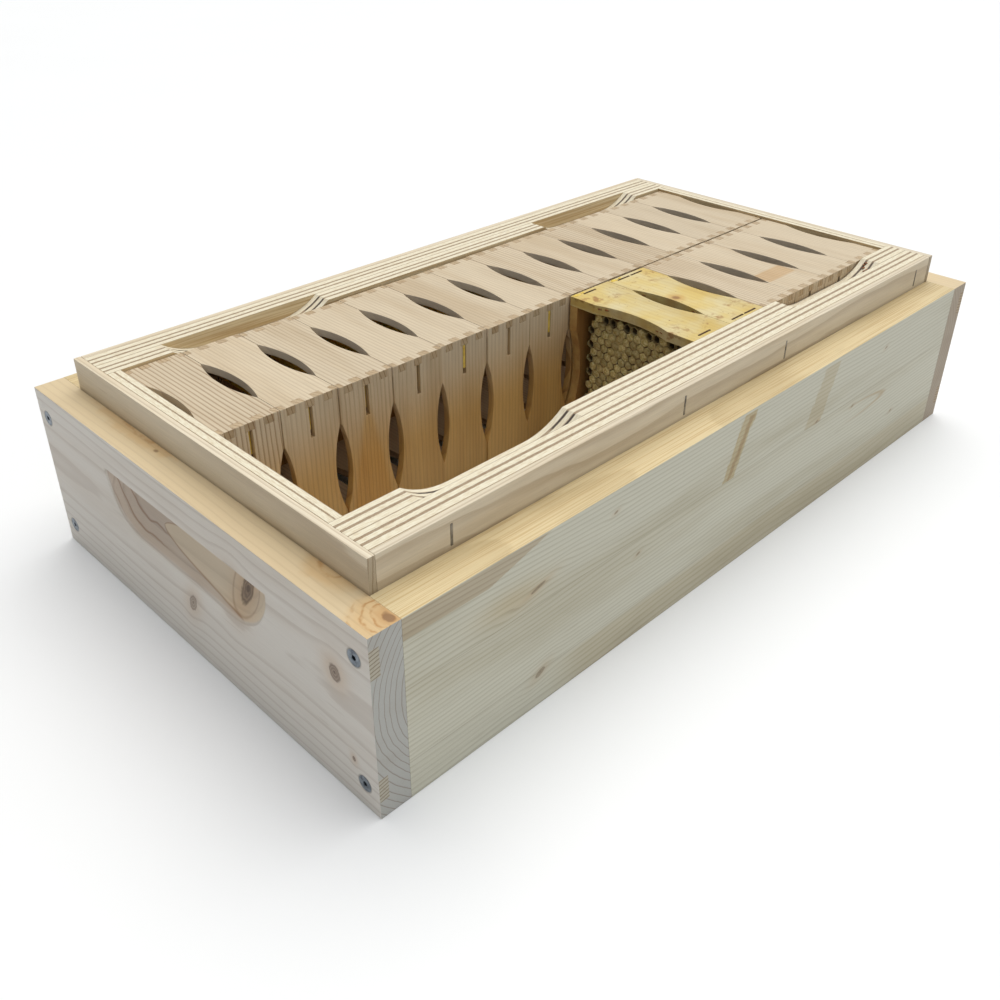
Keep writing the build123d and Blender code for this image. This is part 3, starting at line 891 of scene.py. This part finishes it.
def honeycomb(node, material):
    rng = random.Random(node)
    bm = bmesh.new()
    layers = (bm.verts.layers.float.new("open"), bm.verts.layers.float.new("tone_and_pit_shade"))
    for side in (-1, 1):
        comb_half(bm, layers, node, side, rng)
    bmesh.ops.recalc_face_normals(bm, faces=bm.faces)
    piece = add_piece(node + "_piece", bm, material, BODY_OF[node])
    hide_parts(node)
    return piece


# ---------------------------------------------------------------- small deposits

def blob(bm, centre, size, rng, squash=0.5):
    """A small uneven lump, lying on the surface through its middle."""
    start = len(bm.verts)
    bmesh.ops.create_icosphere(bm, subdivisions=2, radius=1.0)
    bm.verts.ensure_lookup_table()
    for vertex in bm.verts[start:]:
        swell = 1.0 + rng.uniform(-0.18, 0.18)
        offset = Vector((vertex.co.x * size[0], vertex.co.y * size[1], vertex.co.z * size[2] * squash))
        vertex.co = (Vector(centre) + offset * swell) * MM


def deposits(place, propolis, wax):
    """Propolis along the hollow edges and wax on top of one older section frame."""
    node = f"section_frame_front_{place:02d}"
    body = BODY_OF[node]
    low, high = box_mm(node)
    rng = random.Random(node + "deposits")
    bm = bmesh.new()
    middle = (low.y + high.y) / 2
    for share in (-0.5, -0.42, 0.45, 0.55):
        y = middle + share * 44
        hollow = 4.8 * (1 - ((y - middle) / 26.5)**2)
        size = (rng.uniform(0.5, 0.9), rng.uniform(1.4, 3.2), rng.uniform(0.8, 1.6))
        blob(bm, (low.x + hollow + 0.5, y, high.z - 1.8 - rng.uniform(0, 2)), size, rng)
    add_piece(f"propolis_front_{place:02d}", bm, propolis, body)
    bm = bmesh.new()
    dabs = ((3.0, -1.8, (2.2, 1.4, 0.6)), (5.6, -2.4, (1.2, 1.0, 0.5)), (9.0, -1.6, (1.6, 0.9, 0.5)))
    for dx, dy, size in dabs:
        blob(bm, (low.x + dx, high.y + dy, high.z - 0.05), size, rng, 0.8)
    add_piece(f"wax_smear_front_{place:02d}", bm, wax, body)


SCOOP_MIDDLE = 147.0       # the right front scoop's middle along the box
SCOOP_FLAT = 24.0          # from its middle to where the curve of its end starts
SCOOP_DEPTH = 8.8
SCOOP_RADIUS = 47.4


def splinters(material):
    """Torn, darkened bits of veneer at the right end of the front scoops."""
    rng = random.Random("splinters")
    bm = bmesh.new()
    for x in (195.0, 193.0, 190.5, 196.5, 188.0, 192.0):
        y = -SHEETS_START - rng.uniform(1.0, 9.0)
        beyond = abs(x - SCOOP_MIDDLE) - SCOOP_FLAT
        z = RIM_HIGH.z - SCOOP_DEPTH + SCOOP_RADIUS - math.sqrt(SCOOP_RADIUS**2 - beyond**2)
        size = (rng.uniform(1.2, 2.4), rng.uniform(0.6, 1.4), rng.uniform(0.5, 0.9))
        blob(bm, (x, y, min(z, RIM_HIGH.z - 1.0)), size, rng)
    add_piece("scoop_splinters", bm, material, "super")


# ---------------------------------------------------------------- build

materials = {
    "end_board_left": end_board_material("pine_end_left", -1),
    "end_board_right": end_board_material("pine_end_right", 1),
    "side_board_front": side_board_material("pine_side_front", -1),
    "side_board_back": side_board_material("pine_side_back", 1),
}
for node, material in materials.items():
    eased(node, [material], 0.5)

rim_long = rim_material("spruce_rim_long", "X")
rim_end = rim_material("spruce_rim_end", "Y")
for side in ("front", "back"):
    eased("rim_strip_" + side, [rim_long], 0.35)
for side in ("left", "right"):
    eased("rim_strip_" + side, [rim_end], 0.35)

ply_side = ply_material("plywood_side", 1, SHEETS_START, SHEET, SIDE_BANDS)
ply_end = ply_material("plywood_end", 0, END_START, END_SHEET, END_BANDS)
for side in ("front", "back"):
    eased("ply_outer_" + side, [ply_side], 0.15)
    eased("ply_inner_" + side, [ply_side], 0.15)
for side in ("left", "right"):
    eased("ply_end_" + side, [ply_end], 0.15)


def lies_flat(size):
    return 0 if size.z < 10 * MM else 1


new_bars = [section_material("section_flat", "Y"), section_material("section_upright", "Z")]
used_bars = [used_material("used_flat", "Y"), used_material("used_upright", "Z")]
for node in NODES:
    if node.startswith("section_frame"):
        used = SLOT_OF[node] == "used_section_wood"
        eased(node, used_bars if used else new_bars, 0.22, lies_flat, True, STRIPED.get(node, 0.05))

foundation = foundation_material()
zinc = metal_material("zinc_plated", rgb(132, 140, 148), rgb(78, 86, 96), 0.36)
rail_zinc = metal_material("galvanised", rgb(176, 180, 182), rgb(160, 165, 168), 0.42)
staple_steel = metal_material("staple_steel", rgb(150, 148, 146), rgb(96, 92, 88), 0.45)
brown_steel = metal_material("stained_steel", rgb(96, 74, 56), rgb(58, 42, 32), 0.55)
for node in NODES:
    if node.startswith("starter_strip"):
        repaint(node, foundation)
    if node.startswith("support_rail"):
        repaint(node, rail_zinc)
    if node.startswith("section_staples"):
        repaint(node, brown_steel)
repaint("rim_staples", staple_steel)
eased("box_screws", [zinc], 0.12)

comb = comb_material()
propolis = propolis_material()
splinters(propolis)
wax = wax_material()
for place in (8, 9):
    honeycomb(f"honeycomb_front_{place:02d}", comb)
    deposits(place, propolis, wax)


# ---------------------------------------------------------------- stage

def floor_material():
    material, g = new_material("pale_floor")
    cloud = g.noise(g.place(), 0.004, 2.0)
    colour = g.mix(cloud, (0.86, 0.88, 0.92, 1), (0.88, 0.90, 0.94, 1))
    g.finish(colour, 0.7)
    return material


def floor():
    bm = bmesh.new()
    bmesh.ops.create_grid(bm, x_segments=8, y_segments=8, size=6.0)
    mesh = bpy.data.meshes.new("floor_mesh")
    bm.to_mesh(mesh)
    bm.free()
    mesh.materials.append(floor_material())
    plane = bpy.data.objects.new("floor", mesh)
    plane.location.z = cad_box[0][2] - 0.0002
    bpy.context.scene.collection.objects.link(plane)


def softlight(name, towards, strength, spread, colour):
    """A large distant lamp: even over the whole floor, with soft shadows."""
    light = bpy.data.lights.new(name, "SUN")
    light.energy = strength
    light.angle = math.radians(spread)
    light.color = colour
    lamp = bpy.data.objects.new(name, light)
    lamp.rotation_euler = Vector(towards).to_track_quat("-Z", "Y").to_euler()
    bpy.context.scene.collection.objects.link(lamp)


def sky(dim, bright, towards, colour):
    """White behind the object; round it an even light that is dim on one side and brighter on the other."""
    world = bpy.data.worlds.new("studio")
    world.use_nodes = True
    tree = world.node_tree
    tree.nodes.clear()

    def link(a, b):
        tree.links.new(a, b)

    seen = tree.nodes.new("ShaderNodeBackground")
    lit = tree.nodes.new("ShaderNodeBackground")
    place = tree.nodes.new("ShaderNodeTexCoord")
    along = tree.nodes.new("ShaderNodeVectorMath")
    share = tree.nodes.new("ShaderNodeMapRange")
    path = tree.nodes.new("ShaderNodeLightPath")
    mix = tree.nodes.new("ShaderNodeMixShader")
    out = tree.nodes.new("ShaderNodeOutputWorld")
    seen.inputs["Color"].default_value = (1, 1, 1, 1)
    lit.inputs["Color"].default_value = colour
    along.operation = "DOT_PRODUCT"
    along.inputs[1].default_value = Vector(towards).normalized()
    for index, value in enumerate((-0.7, 0.7, dim, bright), start=1):
        share.inputs[index].default_value = value
    link(place.outputs["Generated"], along.inputs[0])
    link(along.outputs["Value"], share.inputs[0])
    link(share.outputs[0], lit.inputs["Strength"])
    link(path.outputs["Is Camera Ray"], mix.inputs[0])
    link(lit.outputs[0], mix.inputs[1])
    link(seen.outputs[0], mix.inputs[2])
    link(mix.outputs[0], out.inputs[0])
    bpy.context.scene.world = world


def camera():
    """A camera a little over half a metre from the near corner, looking down along the box."""
    data = bpy.data.cameras.new("camera")
    data.sensor_width = 36.0
    data.lens = 37.39
    data.shift_x = 0.0068
    data.shift_y = -0.0397
    data.clip_start = 0.01
    right = Vector((0.71220, -0.70197, 0.00127))
    down = Vector((-0.36467, -0.37153, -0.85380))
    ahead = Vector((0.59982, 0.60762, -0.52059))
    turn = Matrix((right, -down, -ahead)).transposed().to_4x4()
    eye = bpy.data.objects.new("camera", data)
    eye.matrix_world = Matrix.Translation(Vector((-428.11, -386.13, 357.78)) * MM) @ turn
    bpy.context.scene.collection.objects.link(eye)
    bpy.context.scene.camera = eye


floor()
sky(0.12, 0.62, (0.75, -0.6, 0.35), (0.92, 0.97, 1.0, 1))
softlight("overhead", (-0.25, -0.1, -1.0), 2.5, 70, (1.0, 0.95, 0.87))
camera()
bpy.context.scene.view_settings.view_transform = "Standard"
